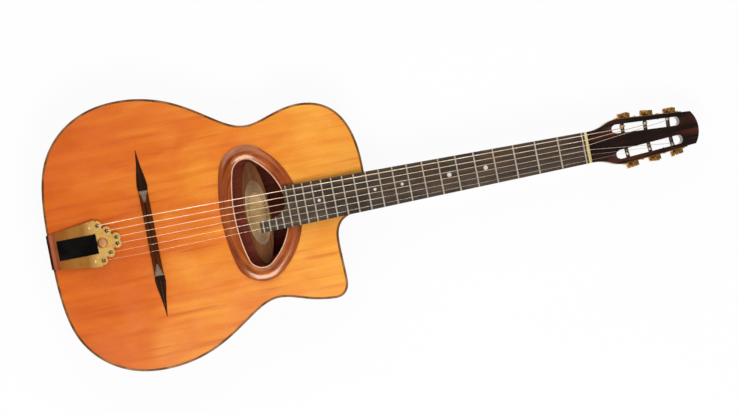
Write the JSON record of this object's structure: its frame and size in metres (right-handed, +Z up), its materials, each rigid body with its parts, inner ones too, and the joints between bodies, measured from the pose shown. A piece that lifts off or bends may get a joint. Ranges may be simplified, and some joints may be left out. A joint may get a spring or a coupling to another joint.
{
  "type": "gypsy jazz guitar",
  "caption": "Acoustic jazz guitar with a D-shaped soundhole, cutaway, floating bridge with moustaches, inner resonator, brass tailpiece and slotted head with worm-gear tuners.",
  "frame": {"origin": "on the back's flat outer face, on the centreline, under the bridge's saddle line", "axes": "+X along the neck towards the head, +Y to the bass side, +Z up out of the soundboard; the guitar lies on its back"},
  "size_m": [0.9674, 0.3972, 0.122],
  "materials": {
    "top_varnish": "amber varnish over straight-grained softwood",
    "body_varnish": "glossy varnish over brown hardwood veneer",
    "dark_binding": "polished near-black",
    "inner_wood": "bare, unvarnished",
    "ring_varnish": "glossy red-brown varnish",
    "pale_binding": "polished cream",
    "resonator_wood": "bare dark red-brown wood",
    "reflector_wood": "bare brown wood",
    "label_paper": "blank, yellowed",
    "neck_varnish": "glossy varnish over brown hardwood",
    "head_veneer": "glossy dark veneer",
    "bar_metal": "mill finish",
    "fingerboard_wood": "oiled dark wood",
    "fret_metal": "polished nickel silver",
    "pearl": "pearly white",
    "nut_bone": "polished bone",
    "tailpiece_brass": "polished and lightly tarnished",
    "insert_black": "polished black",
    "screw_brass": "plain",
    "bridge_wood": "oiled and polished dark wood",
    "wound_string": "silver-plated winding",
    "plain_string": "bare drawn steel",
    "tuner_brass": "lightly tarnished",
    "roller_steel": "darkened steel, worn where the strings wind",
    "button_metal": "plated, satin"
  },
  "bodies": {
    "guitar": {"top_binding": "dark_binding", "back_binding": "dark_binding", "soundboard": "top_varnish", "soundhole_binding": "pale_binding", "soundhole_ring": "ring_varnish", "back": "body_varnish", "neck_block": "inner_wood", "linings": "inner_wood", "back_braces": "inner_wood", "top_braces": "inner_wood", "resonator_floor": "resonator_wood", "resonator_rim": "resonator_wood", "resonator_table": "resonator_wood", "reflector": "reflector_wood", "label": "label_paper", "frets": "fret_metal", "position_dots": "pearl", "fingerboard": "fingerboard_wood", "fingerboard_wedge": "fingerboard_wood", "heel_cap": "neck_varnish", "bass_tuner_plate": "tuner_brass", "treble_tuner_plate": "tuner_brass", "head_veneer": "head_veneer", "neck_bar": "bar_metal", "neck": "neck_varnish", "nut": "nut_bone", "moustaches": "bridge_wood", "tailpiece": "tailpiece_brass", "tailpiece_insert": "insert_black", "tail_block": "inner_wood", "bass_side": "body_varnish", "treble_side": "body_varnish", "wood_screws": "screw_brass", "wound_strings": "wound_string", "plain_strings": "plain_string"},
    "bridge": {"bridge": "bridge_wood"},
    "key_1": {"worm_1": "tuner_brass", "button_1": "button_metal"},
    "roller_1": {"roller_1": "roller_steel", "gear_1": "tuner_brass"},
    "key_2": {"worm_2": "tuner_brass", "button_2": "button_metal"},
    "roller_2": {"roller_2": "roller_steel", "gear_2": "tuner_brass"},
    "key_3": {"worm_3": "tuner_brass", "button_3": "button_metal"},
    "roller_3": {"roller_3": "roller_steel", "gear_3": "tuner_brass"},
    "key_4": {"worm_4": "tuner_brass", "button_4": "button_metal"},
    "roller_4": {"roller_4": "roller_steel", "gear_4": "tuner_brass"},
    "key_5": {"worm_5": "tuner_brass", "button_5": "button_metal"},
    "roller_5": {"roller_5": "roller_steel", "gear_5": "tuner_brass"},
    "key_6": {"worm_6": "tuner_brass", "button_6": "button_metal"},
    "roller_6": {"roller_6": "roller_steel", "gear_6": "tuner_brass"}
  },
  "joints": [
    {"name": "bridge_slide", "type": "slide", "parent": "guitar", "child": "bridge", "axis": [1, 0, 0], "range_m": [-0.002, 0.002]},
    {"name": "key_1_turn", "type": "hinge", "parent": "guitar", "child": "key_1", "pos_m": [0.71038, 0.03623, 0.07139], "axis": [0.2622, 0, 0.965], "continuous": true},
    {"name": "roller_1_turn", "type": "hinge", "parent": "guitar", "child": "roller_1", "pos_m": [0.70239, 0.03685, 0.07356], "axis": [0.0713, 0.9973, -0.0194], "continuous": true},
    {"name": "key_2_turn", "type": "hinge", "parent": "guitar", "child": "key_2", "pos_m": [0.74407, 0.03365, 0.06224], "axis": [0.2622, 0, 0.965], "continuous": true},
    {"name": "roller_2_turn", "type": "hinge", "parent": "guitar", "child": "roller_2", "pos_m": [0.73608, 0.03426, 0.06441], "axis": [0.0713, 0.9973, -0.0194], "continuous": true},
    {"name": "key_3_turn", "type": "hinge", "parent": "guitar", "child": "key_3", "pos_m": [0.77775, 0.03106, 0.05309], "axis": [0.2622, 0, 0.965], "continuous": true},
    {"name": "roller_3_turn", "type": "hinge", "parent": "guitar", "child": "roller_3", "pos_m": [0.76976, 0.03167, 0.05525], "axis": [0.0713, 0.9973, -0.0194], "continuous": true},
    {"name": "key_4_turn", "type": "hinge", "parent": "guitar", "child": "key_4", "pos_m": [0.71038, -0.03623, 0.07139], "axis": [0.2622, 0, 0.965], "continuous": true},
    {"name": "roller_4_turn", "type": "hinge", "parent": "guitar", "child": "roller_4", "pos_m": [0.70239, -0.03685, 0.07356], "axis": [0.0713, -0.9973, -0.0194], "continuous": true},
    {"name": "key_5_turn", "type": "hinge", "parent": "guitar", "child": "key_5", "pos_m": [0.74407, -0.03365, 0.06224], "axis": [0.2622, 0, 0.965], "continuous": true},
    {"name": "roller_5_turn", "type": "hinge", "parent": "guitar", "child": "roller_5", "pos_m": [0.73608, -0.03426, 0.06441], "axis": [0.0713, -0.9973, -0.0194], "continuous": true},
    {"name": "key_6_turn", "type": "hinge", "parent": "guitar", "child": "key_6", "pos_m": [0.77775, -0.03106, 0.05309], "axis": [0.2622, 0, 0.965], "continuous": true},
    {"name": "roller_6_turn", "type": "hinge", "parent": "guitar", "child": "roller_6", "pos_m": [0.76976, -0.03167, 0.05525], "axis": [0.0713, -0.9973, -0.0194], "continuous": true}
  ],
  "couplings": [
    {"joint": "roller_1_turn", "follows": "key_1_turn", "ratio": 0.071429},
    {"joint": "roller_2_turn", "follows": "key_2_turn", "ratio": 0.071429},
    {"joint": "roller_3_turn", "follows": "key_3_turn", "ratio": 0.071429},
    {"joint": "roller_4_turn", "follows": "key_4_turn", "ratio": 0.071429},
    {"joint": "roller_5_turn", "follows": "key_5_turn", "ratio": 0.071429},
    {"joint": "roller_6_turn", "follows": "key_6_turn", "ratio": 0.071429}
  ]
}
